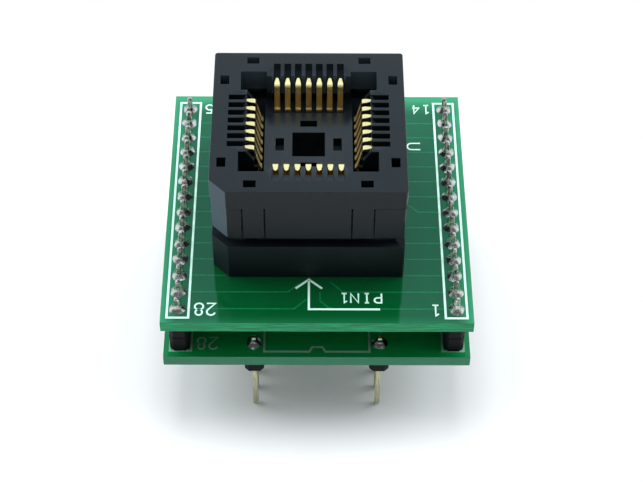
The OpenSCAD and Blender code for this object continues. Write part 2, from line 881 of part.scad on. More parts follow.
contact_stems(SIDE_LEFT);  // contact_stems_left
tail_solder();
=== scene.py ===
import math
import random

import bmesh
import bpy
from bpy.props import FloatProperty, FloatVectorProperty, IntProperty, PointerProperty
from bpy.types import Operator, Panel, PropertyGroup
from mathutils import Matrix, Vector


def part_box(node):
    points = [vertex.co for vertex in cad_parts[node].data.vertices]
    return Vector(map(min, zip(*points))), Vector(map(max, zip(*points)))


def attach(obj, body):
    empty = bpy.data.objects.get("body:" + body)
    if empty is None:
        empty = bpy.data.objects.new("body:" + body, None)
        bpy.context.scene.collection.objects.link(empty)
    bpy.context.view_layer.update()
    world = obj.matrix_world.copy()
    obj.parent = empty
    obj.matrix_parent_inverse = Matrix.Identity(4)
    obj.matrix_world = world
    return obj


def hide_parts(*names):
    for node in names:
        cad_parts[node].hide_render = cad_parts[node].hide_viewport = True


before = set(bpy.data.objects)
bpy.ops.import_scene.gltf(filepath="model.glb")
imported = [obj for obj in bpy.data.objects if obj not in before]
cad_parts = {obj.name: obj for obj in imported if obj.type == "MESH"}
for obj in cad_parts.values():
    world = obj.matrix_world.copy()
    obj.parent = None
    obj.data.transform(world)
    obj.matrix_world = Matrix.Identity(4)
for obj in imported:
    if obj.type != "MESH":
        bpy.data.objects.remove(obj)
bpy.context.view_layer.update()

bl_info = {
    "name": "Programming Adapter",
    "version": (1, 0, 0),
    "blender": (4, 5, 0),
    "location": "View3D > Sidebar > Adapter",
    "description": "Dresses a two-board programming adapter: mask, print, solder, socket and contacts",
    "category": "Mesh",
}

MM = 0.001
MICRON = 1e-6
SEED = 28
BODY = "adapter"
SIDES = ("front", "right", "rear", "left")
COLUMNS = ("left", "right")

# Places that come from the frame
UPPER_LOW, UPPER_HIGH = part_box("upper_board")
LOWER_LOW, LOWER_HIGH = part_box("lower_board")
UPPER_TOP = UPPER_HIGH.z
LOWER_TOP = LOWER_HIGH.z
COVER_LOW, COVER_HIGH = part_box("socket_cover")
SOCKET = (COVER_LOW + COVER_HIGH) / 2
SOCKET_HALF = (COVER_HIGH.x - COVER_LOW.x) / 2
SEAT_LOW, SEAT_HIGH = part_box("seat_plate")
ARM_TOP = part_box("contact_arms_rear")[1].z
# The contacts' noses end a little above the seat
NOSE_TOP = SEAT_HIGH.z + 0.5 * MM
PITCH = 2.54 * MM
# Distances outside the boards' outline between which their shadow on the floor fades into white
FLOOR_FADE = (2 * MM, 22 * MM)


def row_places(node):
    """Places of the pins of a CAD row, front to back."""
    low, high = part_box(node)
    side = high.x - low.x
    count = round((high.y - low.y - side) / PITCH) + 1
    return [Vector(((low.x + high.x) / 2, low.y + side / 2 + i * PITCH)) for i in range(count)]


LINK_PINS = {column: row_places(f"link_pins_{column}") for column in COLUMNS}
DIP_PINS = {column: row_places(f"dip_pins_{column}") for column in COLUMNS}
PIN_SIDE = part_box("link_pins_left")[1].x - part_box("link_pins_left")[0].x
# The print lies a little off the boards' middle
PRINT_MIDDLE = (UPPER_LOW.y + UPPER_HIGH.y) / 2 - 0.54 * MM


class AdapterSizes(PropertyGroup):
    """Sizes of what is printed, soldered and rounded off."""

    trace_width: FloatProperty(
        name="Trace width", description="Width of a copper trace under the mask",
        default=0.2 * MM, unit="LENGTH")
    trace_height: FloatProperty(
        name="Trace height", description="Step of the mask over a trace",
        default=0.012 * MM, unit="LENGTH")
    print_width: FloatProperty(
        name="Print width", description="Width of a printed line",
        default=0.27 * MM, unit="LENGTH")
    figure_width: FloatProperty(
        name="Figure width", description="Width of a printed figure's strokes",
        default=0.21 * MM, unit="LENGTH")
    print_height: FloatProperty(
        name="Print height", description="Thickness of the printed ink",
        default=0.03 * MM, unit="LENGTH")
    plastic_edge: FloatProperty(
        name="Socket edges", description="Rounding of the socket's moulded edges",
        default=0.05 * MM, unit="LENGTH")
    strip_edge: FloatProperty(
        name="Strip edges", description="Rounding of the pin strips' edges",
        default=0.12 * MM, unit="LENGTH")
    pin_edge: FloatProperty(
        name="Pin edges", description="Rounding of the square pins' edges",
        default=0.07 * MM, unit="LENGTH")
    contact_edge: FloatProperty(
        name="Contact edges", description="Rounding of the contacts' stamped edges",
        default=0.03 * MM, unit="LENGTH")
    edge_steps: IntProperty(
        name="Edge steps", description="Facets across a rounded edge", default=2, min=1)
    fillet_steps: IntProperty(
        name="Fillet steps", description="Facets around a solder fillet", default=16, min=8)


class AdapterColours(PropertyGroup):
    """Colours of the adapter's materials."""

    mask: FloatVectorProperty(
        name="Mask", description="Solder mask over bare laminate",
        default=(0.001, 0.085, 0.021), subtype="COLOR")
    mask_deep: FloatVectorProperty(
        name="Deep mask", description="Solder mask where it lies thicker",
        default=(0.001, 0.068, 0.016), subtype="COLOR")
    mask_lit: FloatVectorProperty(
        name="Lit mask", description="Solder mask of the lower board in the light through the upper one",
        default=(0.003, 0.45, 0.1), subtype="COLOR")
    # Painted light: the lower board's rim gets a dimmer share of the light painted on its mask
    mask_lit_rim: FloatVectorProperty(
        name="Mask lip", description="Solder mask along the lower board's rim",
        default=(0.003, 0.2, 0.045), subtype="COLOR")
    mask_edge: FloatVectorProperty(
        name="Mask at the rim",
        description="Solder mask near a cut edge, where light comes up through the board",
        default=(0.03, 0.275, 0.12), subtype="COLOR")
    mask_trace: FloatVectorProperty(
        name="Mask on copper", description="Solder mask over a trace",
        default=(0.012, 0.21, 0.07), subtype="COLOR")
    laminate: FloatVectorProperty(
        name="Laminate", description="Cut edge of the board",
        default=(0.014, 0.52, 0.19), subtype="COLOR")
    laminate_dark: FloatVectorProperty(
        name="Dark laminate", description="Glass layers in the cut edge",
        default=(0.008, 0.19, 0.075), subtype="COLOR")
    laminate_worn: FloatVectorProperty(
        name="Worn laminate", description="Frayed cut edge of the board",
        default=(0.04, 0.2, 0.11), subtype="COLOR")
    ink: FloatVectorProperty(
        name="Ink", description="White printed legend",
        default=(0.64, 0.97, 0.85), subtype="COLOR")
    socket: FloatVectorProperty(
        name="Socket", description="Moulded plastic of the socket",
        default=(0.007, 0.01, 0.0125), subtype="COLOR")
    strip: FloatVectorProperty(
        name="Strip", description="Moulded plastic of the pin strips",
        default=(0.0015, 0.003, 0.004), subtype="COLOR")
    pin: FloatVectorProperty(
        name="Pin", description="Thin gold on the pins",
        default=(0.7, 0.66, 0.44), subtype="COLOR")
    tin: FloatVectorProperty(
        name="Solder", description="Solder and tinned pin ends",
        default=(0.68, 0.63, 0.57), subtype="COLOR")
    contact: FloatVectorProperty(
        name="Contact", description="Gold on the contacts",
        default=(1.0, 0.8, 0.38), subtype="COLOR")
    # Painted shade: darker gold on the side contacts' arms
    contact_arm: FloatVectorProperty(
        name="Side arm", description="Gold on the arms of the side contacts",
        default=(0.75, 0.56, 0.24), subtype="COLOR")
    # Painted shade: darker gold on the contacts' sheared edge faces, which look along a row
    contact_edge_shade: FloatVectorProperty(
        name="Cut contact", description="Sheared edges of the contacts",
        default=(0.3, 0.18, 0.05), subtype="COLOR")
    # Painted reflection: deeper gold on the front and rear contacts' arms, for their reflections in one
    # another
    contact_deep: FloatVectorProperty(
        name="Deep contact", description="Gold on the contacts' arms, which mirror one another",
        default=(1.0, 0.66, 0.25), subtype="COLOR")
    steel: FloatVectorProperty(
        name="Steel", description="Spring wire",
        default=(0.55, 0.56, 0.58), subtype="COLOR")
    floor: FloatVectorProperty(
        name="Floor", description="Pale floor under the adapter",
        default=(0.9, 0.91, 0.92), subtype="COLOR")


class AdapterStudio(PropertyGroup):
    """Camera and light of the stage."""

    camera_place: FloatVectorProperty(
        name="Camera place", description="Where the camera stands",
        default=(-0.000728, -0.143494, 0.181406), subtype="TRANSLATION", precision=6)
    camera_tilt: FloatProperty(
        name="Camera tilt", description="Angle of the camera from looking straight down",
        default=math.radians(40.29), subtype="ANGLE")
    camera_turn: FloatProperty(
        name="Camera turn", description="Turn of the camera about the upright",
        default=math.radians(-0.53), subtype="ANGLE")
    camera_roll: FloatProperty(
        name="Camera roll", description="Turn of the camera about its own view",
        default=math.radians(0.57), subtype="ANGLE")
    lens: FloatProperty(
        name="Lens", description="Focal length on a 36 mm wide sensor",
        default=97.43, subtype="DISTANCE_CAMERA")
    backdrop_light: FloatProperty(
        name="Backdrop light", description="Light that the backdrop behind the adapter throws on it",
        default=1.0)
    backdrop_shine: FloatProperty(
        name="Backdrop shine", description="Brightness of the backdrop's mirror image", default=1.35)
    wing_light: FloatProperty(
        name="Side light", description="Light of the tent's two sides", default=3.6)
    wing_shine: FloatProperty(
        name="Side shine", description="Brightness of the sides' mirror image", default=1.35)
    room_light: FloatProperty(
        name="Room light", description="Light of the room above and in front", default=0.16)
    room_shine: FloatProperty(
        name="Room shine", description="Brightness of the room's mirror image", default=0.2)
    ceiling_shine: FloatProperty(
        name="Ceiling shine", description="Brightness of the ceiling's mirror image", default=1.9)
    window_power: FloatProperty(
        name="Window power", description="Power of the soft light above", default=1.2, subtype="POWER")
    window_size: FloatProperty(
        name="Window size", description="Side of the soft light", default=0.2, unit="LENGTH")


# Node trees

class Signal:
    """Output socket of a node, so that shader maths reads as a plain expression."""

    def __init__(self, nodes, socket):
        self.nodes = nodes
        self.socket = socket

    def maths(self, operation, *values):
        """Result of a Math node on values."""
        return self.nodes.add("ShaderNodeMath", {"operation": operation}, dict(enumerate(values)))

    def __abs__(self):
        return self.maths("ABSOLUTE", self)

    def __add__(self, other):
        return self.maths("ADD", self, other)

    def __radd__(self, other):
        return self.maths("ADD", other, self)

    def __sub__(self, other):
        return self.maths("SUBTRACT", self, other)

    def __rsub__(self, other):
        return self.maths("SUBTRACT", other, self)

    def __mul__(self, other):
        return self.maths("MULTIPLY", self, other)

    def __rmul__(self, other):
        return self.maths("MULTIPLY", other, self)

    def __gt__(self, other):
        return self.maths("GREATER_THAN", self, other)


class Nodes:
    """Node tree that is filled by one method."""

    # Sockets of a Mix node that hold colours
    mix_inputs = (6, 7)
    mix_output = 2

    def __init__(self, owner):
        owner.use_nodes = True
        self.owner = owner
        self.tree = owner.node_tree
        self.tree.nodes.clear()

    def add(self, kind, settings=None, sockets=None, out=0):
        """Adds a node: its settings first, then the values and links of its sockets."""
        node = self.tree.nodes.new(kind)
        for name, value in (settings or {}).items():
            setattr(node, name, value)
        for name, value in (sockets or {}).items():
            if isinstance(value, Signal):
                self.tree.links.new(value.socket, node.inputs[name])
            else:
                node.inputs[name].default_value = value
        return Signal(self, node.outputs[out]) if node.outputs else None

    def place(self, scale=(1, 1, 1)):
        """Object coordinates, stretched by a scale."""
        coords = self.add("ShaderNodeTexCoord", out="Object")
        return self.add("ShaderNodeMapping", {}, {"Vector": coords, "Scale": scale})

    def part(self, vector, way):
        """X, Y or Z part of a vector."""
        return self.add("ShaderNodeSeparateXYZ", {}, {0: vector}, way)

    def ray(self, kind):
        """1 for one kind of ray, such as the camera's, and 0 for the others."""
        return self.add("ShaderNodeLightPath", out=f"Is {kind} Ray")

    def noise(self, size, detail=3, stretch=(1, 1, 1)):
        """Noise from 0 to 1 whose spots have about the given size."""
        return self.add("ShaderNodeTexNoise", {}, {
            "Vector": self.place(stretch), "Scale": 1 / size, "Detail": detail, "Roughness": 0.55})

    def rim_distance(self, low, high):
        """Distance from a place on a board to the board's nearest edge."""
        middle, half = (low + high) / 2, (high - low) / 2
        gaps = []
        for i, way in enumerate("XY"):
            gaps.append(half[i] - abs(self.part(self.place(), way) - middle[i]))
        return gaps[0].maths("MINIMUM", *gaps)

    def contrast(self, value, low, high):
        """Value spread so that low becomes 0 and high becomes 1."""
        return self.add("ShaderNodeMapRange", {"clamp": True}, {
            "Value": value, "From Min": low, "From Max": high})

    def mix(self, factor, first, second):
        """Colour between two colours."""
        pair = [c if isinstance(c, Signal) else (*c, 1) for c in (first, second)]
        sockets = {0: factor, **dict(zip(self.mix_inputs, pair))}
        return self.add("ShaderNodeMix", {"data_type": "RGBA"}, sockets, self.mix_output)

    def bump(self, height, depth):
        """Normal bent by a height from 0 to 1, of the given depth."""
        return self.add("ShaderNodeBump", {}, {"Height": height, "Strength": 1.0, "Distance": depth})

    def principled(self, sockets):
        """Principled shader with the given sockets."""
        return self.add("ShaderNodeBsdfPrincipled", {}, sockets)

    def end(self, shader):
        """Ends a material's tree in a shader."""
        self.add("ShaderNodeOutputMaterial", {}, {"Surface": shader})
        return self.owner

    def surface(self, sockets):
        """Ends a material's tree in one Principled surface."""
        return self.end(self.principled(sockets))


def material_nodes(name):
    """Empty node tree of a new material."""
    return Nodes(bpy.data.materials.new(name))


# Finishes

# Colour that the green mask gives to what it mirrors, and its refraction
MASK_GLINT = (0.5, 1, 0.95, 1)
MASK_IOR = 1.7
# Upward part of a face's direction, above which the face lies flat and is coated
COATED = 0.5
# Width of the rim in which light comes up through a board
RIM_WIDTH = 2.8 * MM
# Depths below the arms' tops between which a contact's tab turns into its arm, whose colour is painted
# shade and reflection
TAB_FADE = (0.7 * MM, 1.6 * MM)
# Half the height over which the painted highlight on a contact's nose begins
NOSE_FADE = 0.05 * MM


def toned(colour, share):
    """Colour times a share, darker below 1 and lighter above it."""
    return tuple(share * part for part in colour)


def mask_finish(name, colours, tones, low, high, worn):
    """Glossy mask in two tones and a third at the rim, where painted light stands for light coming up
    through the board, over a cut edge that is dark where it is worn.
    """
    nodes = material_nodes(name)
    upright = nodes.part(nodes.add("ShaderNodeTexCoord", out="Normal"), "Z")
    clouds = nodes.noise(6 * MM)
    layers = nodes.noise(0.16 * MM, 2, (0.05, 0.05, 1))
    rim = nodes.contrast(nodes.rim_distance(low, high), RIM_WIDTH, 0)
    mask = nodes.mix(clouds, tones[0], tones[1])
    # Painted light: near the rim the mask turns to the third tone, which paints the light at the board's
    # rim, faster towards the edge
    mask = nodes.mix(rim * (0.3 + rim * 0.7), mask, tones[2])
    mask = nodes.mix(upright > COATED, colours.mask_deep, mask)
    edge = nodes.mix(nodes.contrast(layers, 0.35, 0.7), colours.laminate_dark, colours.laminate)
    edge = nodes.mix(worn, edge, colours.laminate_worn)
    skin = nodes.noise(0.9 * MM, 2)
    coated = nodes.principled({
        "Base Color": mask,
        "Roughness": 0.06 + clouds * 0.03,
        "IOR": MASK_IOR,
        "Specular Tint": MASK_GLINT,
        "Normal": nodes.bump(skin, 0.6 * MICRON),
    })
    cut = nodes.principled({
        "Base Color": edge,
        "Roughness": 0.5 + layers * 0.2,
        "IOR": 1.3,
        "Normal": nodes.bump(layers, 8 * MICRON),
    })
    return nodes.end(nodes.add("ShaderNodeMixShader", {}, {0: abs(upright) > COATED, 1: cut, 2: coated}))


def trace_finish(colours):
    """Solder mask that is thin over copper."""
    nodes = material_nodes("mask_on_copper")
    worn = nodes.noise(0.5 * MM)
    return nodes.surface({
        "Base Color": nodes.mix(worn, colours.mask, colours.mask_trace),
        "Roughness": 0.08 + worn * 0.08,
        "IOR": MASK_IOR,
        "Specular Tint": MASK_GLINT,
    })


def ink_finish(name, colours, fade):
    """White screen ink, a little thin in places and dimmed as a whole by painted shade."""
    nodes = material_nodes(name)
    thin = nodes.contrast(nodes.noise(0.14 * MM, 4), 0.62, 0.85)
    return nodes.surface({
        # The share fade is painted shade, which dims the whole print towards the mask's colour
        "Base Color": nodes.mix(fade + thin * (1 - fade) * 0.5, colours.ink, colours.mask_trace),
        "Roughness": 0.45 + thin * 0.2,
        "Normal": nodes.bump(nodes.noise(0.05 * MM), 6 * MICRON),
    })


def moulding_finish(name, colour, roughness, grain, gloss):
    """Black moulded plastic with a fine eroded grain and a little dust."""
    nodes = material_nodes(name)
    fine = nodes.noise(grain, 4)
    flow = nodes.noise(3 * MM)
    dust = nodes.contrast(nodes.noise(0.09 * MM, 2), 0.74, 0.8)
    pale = tuple(0.01 + 1.5 * part for part in colour)
    return nodes.surface({
        "Base Color": nodes.mix(flow * 0.2 + dust * 0.3, colour, pale),
        "Roughness": roughness - 0.05 + flow * 0.08 + fine * 0.04,
        "IOR": gloss,
        "Normal": nodes.bump(fine, 1.5 * MICRON),
    })


def pin_finish(colours):
    """Thin pale gold on the pins, tinned where they stand above a board."""
    nodes = material_nodes("pin_plating")
    tinned = nodes.part(nodes.place(), "Z") > UPPER_TOP
    drawn = nodes.noise(0.08 * MM, 3, (1, 1, 0.06))
    gold = nodes.mix(nodes.contrast(drawn, 0.3, 0.75), toned(colours.pin, 0.55), colours.pin)
    streaks = nodes.contrast(nodes.noise(0.3 * MM, 3, (1, 1, 0.2)), 0.45, 0.6)
    tin = nodes.mix(streaks, colours.tin, toned(colours.tin, 0.3))
    return nodes.surface({
        "Base Color": nodes.mix(tinned, gold, tin),
        "Metallic": 1.0,
        "Roughness": 0.2 + drawn * 0.16,
        "Normal": nodes.bump(drawn, 3 * MICRON),
    })


def solder_finish(name, colours, shade):
    """Solder with dull cold patches, dimmed as a whole by a share of painted shade."""
    nodes = material_nodes(name)
    frost = nodes.contrast(nodes.noise(0.35 * MM, 4), 0.4, 0.75)
    bright, dull = (toned(colours.tin, shade * wear) for wear in (1, 0.72))
    return nodes.surface({
        "Base Color": nodes.mix(frost, bright, dull),
        "Metallic": 1.0,
        "Roughness": 0.14 + frost * 0.16,
        "Normal": nodes.bump(nodes.noise(0.25 * MM), 50 * MICRON),
    })


def contact_finish(name, tab, arm, wear, nose_light):
    """Gold on stamped and bent strip, with wear on the arms and a colour painted on them for their shade
    and reflections, and noses made pale by a painted highlight.
    """
    nodes = material_nodes(name)
    rolled = nodes.noise(0.12 * MM, 3)
    height = nodes.part(nodes.place(), "Z")
    below = nodes.contrast(height, *(ARM_TOP - depth for depth in TAB_FADE))
    deep = nodes.contrast(rolled, 0.5, 0.9) * 0.3
    # Painted highlight: the nose turns pale and less metallic
    nose = nodes.contrast(height, NOSE_TOP + NOSE_FADE, NOSE_TOP - NOSE_FADE) * nose_light
    # Below the tabs, and in random spots, the arms take their painted colour: shade on the side arms,
    # reflections on the front and rear ones
    plated = nodes.mix(deep + below * (1 - deep), tab, arm)
    return nodes.surface({
        "Base Color": nodes.mix(nose, plated, tab),
        "Metallic": 1 - nose,
        "Roughness": 0.24 + rolled * 0.06 + below * wear,
    })


def steel_finish(colours):
    """Drawn spring wire."""
    nodes = material_nodes("spring_steel")
    drawn = nodes.noise(0.1 * MM)
    return nodes.surface({
        "Base Color": nodes.mix(drawn, toned(colours.steel, 0.6), colours.steel),
        "Metallic": 1.0,
        "Roughness": 0.25 + drawn * 0.1,
    })


def floor_finish(colours):
    """Pale floor with the adapter's shadow, which fades into plain white for the camera."""
    nodes = material_nodes("floor_paint")
    grain = nodes.noise(2 * MM)
    paint = nodes.principled({
        "Base Color": nodes.mix(grain, toned(colours.floor, 0.985), colours.floor), "Roughness": 0.75})
    white = nodes.add("ShaderNodeEmission", {}, {"Color": (1, 1, 1, 1), "Strength": 1})
    far = -1 * nodes.rim_distance(UPPER_LOW, UPPER_HIGH)
    faded = nodes.ray("Camera") * nodes.contrast(far, *FLOOR_FADE)
    return nodes.end(nodes.add("ShaderNodeMixShader", {}, {0: faded, 1: paint, 2: white}))


# Pieces

# Distance within which points are one point, and bend within which faces are one face
WELD = 0.5 * MICRON
FLAT_BEND = math.radians(0.5)


def finish_piece(name, bm, body, material, replaced=(), smooth_angle=35, weighted=False):
    """Makes a mesh object that rides on a body, in place of the nodes that it stands for."""
    mesh = bpy.data.meshes.new(name)
    bm.to_mesh(mesh)
    bm.free()
    mesh.materials.append(material)
    mesh.shade_smooth()
    mesh.set_sharp_from_angle(angle=math.radians(smooth_angle))
    piece = bpy.data.objects.new(name, mesh)
    bpy.context.scene.collection.objects.link(piece)
    if weighted:
        even = piece.modifiers.new("flat_faces", "WEIGHTED_NORMAL")
        even.keep_sharp = True
    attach(piece, body)
    if replaced:
        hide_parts(*replaced)
    return piece


def paint_node(node, material):
    """Gives a CAD node a finish."""
    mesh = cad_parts[node].data
    mesh.materials.clear()
    mesh.materials.append(material)


def softened(node, edge, steps, hard_angle=25, chosen=None):
    """Copy of a CAD node with its hard edges, or the chosen ones among them, rounded off."""
    bm = bmesh.new()
    bm.from_mesh(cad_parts[node].data)
    bmesh.ops.remove_doubles(bm, verts=bm.verts, dist=WELD)
    bmesh.ops.dissolve_limit(bm, angle_limit=FLAT_BEND, verts=bm.verts, edges=bm.edges)
    hard = [e for e in bm.edges if e.is_manifold and e.calc_face_angle() > math.radians(hard_angle)]
    if chosen:
        hard = [e for e in hard if chosen(e)]
    bmesh.ops.bevel(
        bm, geom=hard, offset=edge, offset_type="OFFSET", segments=steps, profile=0.5,
        affect="EDGES", material=-1, clamp_overlap=False)
    bmesh.ops.connect_verts_concave(bm, faces=bm.faces)
    return bm


# Printed lines

# Share of a line's width across its corner, below which the corner is cut short
SHARPEST_BEND = 0.65


def side_steps(path, closed):
    """Sideways step at each point of a path, longer where the path bends."""
    steps = []
    for i, point in enumerate(path):
        ways = []
        if closed or i > 0:
            ways.append((point - path[i - 1]).normalized())
        if closed or i < len(path) - 1:
            ways.append((path[(i + 1) % len(path)] - point).normalized())
        lefts = [Vector((-way.y, way.x)) for way in ways]
        middle = sum(lefts, Vector((0, 0))).normalized()
        steps.append(middle / max(middle.dot(lefts[0]), SHARPEST_BEND))
    return steps


def lay_line(bm, path, width, level, height, closed=False):
    """Adds a flat line of the given width along a path on a board."""
    path = [Vector(point) for point in path]
    steps = side_steps(path, closed)
    rails = []
    for side in (0.5, -0.5):
        rail = [bm.verts.new((*(p + step * width * side), level)) for p, step in zip(path, steps)]
        rails.append(rail + rail[:1] if closed else rail)
    left, right = rails
    faces = [bm.faces.new(corners) for corners in zip(left, left[1:], right[1:], right)]
    grown = bmesh.ops.extrude_face_region(bm, geom=faces, use_keep_orig=True)["geom"]
    tops = [v for v in grown if isinstance(v, bmesh.types.BMVert)]
    bmesh.ops.translate(bm, verts=tops, vec=(0, 0, height))


def lines_mesh(groups, level, height):
    """Mesh of groups of flat lines of one width, each line a path and whether it is closed."""
    bm = bmesh.new()
    for lines, width in groups:
        for path, closed in lines:
            lay_line(bm, path, width, level, height, closed)
    bmesh.ops.recalc_face_normals(bm, faces=bm.faces)
    return bm


def bow(centre, radius, start, end, steps=8):
    """Points on an arc, with its angles in degrees."""
    angles = [math.radians(start + (end - start) * i / steps) for i in range(steps + 1)]
    return [(centre[0] + radius[0] * math.cos(a), centre[1] + radius[1] * math.sin(a)) for a in angles]


# Strokes of the legend's figures in a cell that is one high
FIGURE_CELL = 0.6
STROKES = {
    "1": [[(0.08, 0.8), (0.3, 1.0), (0.3, 0.0)], [(0.08, 0.0), (0.52, 0.0)]],
    "2": [bow((0.3, 0.72), (0.28, 0.28), 165, -35) + [(0.02, 0.0), (0.6, 0.0)]],
    "4": [[(0.45, 0.0), (0.45, 1.0), (0.02, 0.32), (0.6, 0.32)]],
    "5": [[(0.55, 1.0), (0.1, 1.0), (0.06, 0.55)] + bow((0.28, 0.31), (0.3, 0.31), 110, -150)],
    "8": [bow((0.3, 0.76), (0.23, 0.24), -90, 270, 14), bow((0.3, 0.27), (0.29, 0.27), 90, 450, 14)],
    "P": [[(0.14, 0.0), (0.14, 1.0)] + bow((0.44, 0.73), (0.3, 0.27), 90, -90) + [(0.14, 0.46)]],
    "I": [[(0.38, 0.0), (0.38, 1.0)], [(0.2, 0.0), (0.56, 0.0)], [(0.2, 1.0), (0.56, 1.0)]],
    "N": [[(0.1, 0.0), (0.1, 1.0), (0.74, 0.0), (0.74, 1.0)]],
    "U": [[(0.04, 1.0)] + bow((0.3, 0.3), (0.26, 0.3), 180, 360) + [(0.56, 1.0)]],
}


def figure_lines(word, corner, height, gap=0.32, turn=180, width=1.0):
    """Stroke paths of a word from its lower left corner, its figures a share of their height apart."""
    way = Matrix.Rotation(math.radians(turn), 2)
    lines = []
    for i, figure in enumerate(word):
        for stroke in STROKES[figure]:
            points = [Vector(((x + i * (FIGURE_CELL + gap)) * width, y)) * height for x, y in stroke]
            path = [Vector(corner) + way @ point for point in points]
            closed = (path[0] - path[-1]).length < MICRON
            lines.append((path[:-1] if closed else path, closed))
    return lines


def on_board(x, y):
    """Place on the boards, in millimetres from the middle of the print."""
    return Vector((x * MM, PRINT_MIDDLE + y * MM))


def rectangle(low, high):
    """Closed line around a rectangle, from its front left to its rear right corner."""
    return [low, Vector((high.x, low.y)), high, Vector((low.x, high.y))], True


class ADAPTER_OT_boards(Operator):
    """Give both boards their solder mask"""

    bl_idname = "adapter.boards"
    bl_label = "Boards"

    # Shifts of the outline whose rim glows: past the upper board's front edge, and in from its rear edge
    glow_front = Vector((0, -1.6 * MM, 0))
    glow_rear = Vector((0, -0.6 * MM, 0))
    # Shares of wear on the cut edges
    upper_wear = 0.2
    lower_wear = 0.9

    def execute(self, context):
        colours = context.scene.adapter_colours
        open_tones = colours.mask_deep, colours.mask, colours.mask_edge
        # Painted light: the lower board's mask is painted lit, for light that comes through the upper
        # board, and dimmer at its rim
        lit_tones = colours.mask_lit, colours.mask_lit, colours.mask_lit_rim
        upper = mask_finish(
            "upper_mask", colours, open_tones,
            UPPER_LOW + self.glow_front, UPPER_HIGH + self.glow_rear, self.upper_wear)
        lower = mask_finish("lower_mask", colours, lit_tones, LOWER_LOW, LOWER_HIGH, self.lower_wear)
        paint_node("upper_board", upper)
        paint_node("lower_board", lower)
        return {"FINISHED"}


class ADAPTER_OT_traces(Operator):
    """Lay the copper traces that run from the link pins to the socket"""

    bl_idname = "adapter.traces"
    bl_label = "Traces"

    # Bends and ends of the traces that can be seen, in millimetres across the board and behind the pin
    seen_ends = {
        ("left", 0): [(-2.72, 0), (-1.3, 1.42)],
        ("left", 1): [(-3.46, 0), (-2.06, 1.4)],
        ("left", 2): [(-9.5, 0)],
        ("right", 0): [(1.55, 0), (0.36, 1.19), (0.36, 2.5)],
        ("right", 1): [(3.1, 0), (1.6, 1.5)],
        ("right", 2): [(1.55, 0)],
        ("right", 6): [(12.5, 0), (11.6, 0.95), (9.5, 0.95)],
    }
    # Where the other traces end under the socket, in millimetres across the board
    hidden_end = 8.5

    def execute(self, context):
        sizes = context.scene.adapter_sizes
        lines = []
        for column, outward in (("left", -1), ("right", 1)):
            for i, pin in enumerate(LINK_PINS[column]):
                ends = self.seen_ends.get((column, i), [(outward * self.hidden_end, 0)])
                path = [pin] + [Vector((x * MM, pin.y + y * MM)) for x, y in ends]
                lines.append((path, False))
        bm = lines_mesh([(lines, sizes.trace_width)], UPPER_TOP, sizes.trace_height)
        material = trace_finish(context.scene.adapter_colours)
        finish_piece("board_traces", bm, BODY, material)
        return {"FINISHED"}


class ADAPTER_OT_legend(Operator):
    """Print the white lines and figures on both boards"""

    bl_idname = "adapter.legend"
    bl_label = "Printed legend"

    # Frames around the link pins, in millimetres across the board: their middles and half their width
    frame_middles = (-16.45, 16.45)
    frame_half = 1.28
    # Painted shade that dims the lower board's ink, which lies in the upper board's shadow
    lower_ink_shade = 0.55

    def execute(self, context):
        sizes = context.scene.adapter_sizes
        for name, lines, figures, level, fade in (
                ("upper_legend", self.upper_lines(), self.upper_figures(), UPPER_TOP, 0),
                ("lower_legend", self.lower_lines(), self.last_pin(), LOWER_TOP, self.lower_ink_shade)):
            groups = [(lines, sizes.print_width), (figures, sizes.figure_width)]
            bm = lines_mesh(groups, level, sizes.print_height)
            material = ink_finish(f"{name}_ink", context.scene.adapter_colours, fade)
            finish_piece(name, bm, BODY, material)
        return {"FINISHED"}

    def pin_frames(self, front, rear):
        """Frames around both rows of link pins."""
        half = self.frame_half
        return [rectangle(on_board(x - half, front), on_board(x + half, rear)) for x in self.frame_middles]

    def upper_lines(self):
        """Frames, and an arrow to the socket's first contact."""
        arrow = [
            ([on_board(-2.56, -13.0), on_board(-0.98, -11.62), on_board(0.6, -13.0)], False),
            ([on_board(-0.98, -11.7), on_board(-0.97, -16.14), on_board(7.45, -16.14)], False),
        ]
        return self.pin_frames(-17.45, 18.05) + arrow

    def upper_figures(self):
        """Numbers at the ends of the rows, the arrow's words and a letter beside the socket."""
        return (
            figure_lines("PIN1", on_board(7.85, -13.75), 1.4 * MM, 0.4)
            + self.last_pin()
            + figure_lines("1", on_board(14.5, -15.5), 1.6 * MM)
            + figure_lines("14", on_board(14.65, 17.72), 1.5 * MM, 0.3)
            + figure_lines("15", on_board(-12.25, 17.7), 1.5 * MM, 0.3)
            + figure_lines("U", on_board(11.55, 10.97), 1.65 * MM, turn=-90, width=1.28)
        )

    def lower_lines(self):
        """Outline with a notch in its front edge, and frames."""
        half, front, rear = 6.35, -17.4, 17.6
        middle, notch, depth = 0.07, 0.62, 0.7
        outline = [
            on_board(-half, rear), on_board(-half, front), on_board(middle - notch - depth / 2, front),
            on_board(middle - notch, front + depth), on_board(middle + notch, front + depth),
            on_board(middle + notch + depth / 2, front), on_board(half, front), on_board(half, rear),
        ]
        return [(outline, True)] + self.pin_frames(-17.3, 17.9)

    @staticmethod
    def last_pin():
        """Number of the last pin, which both boards show."""
        return figure_lines("28", on_board(-12.0, -15.3), 1.75 * MM, 0.22)


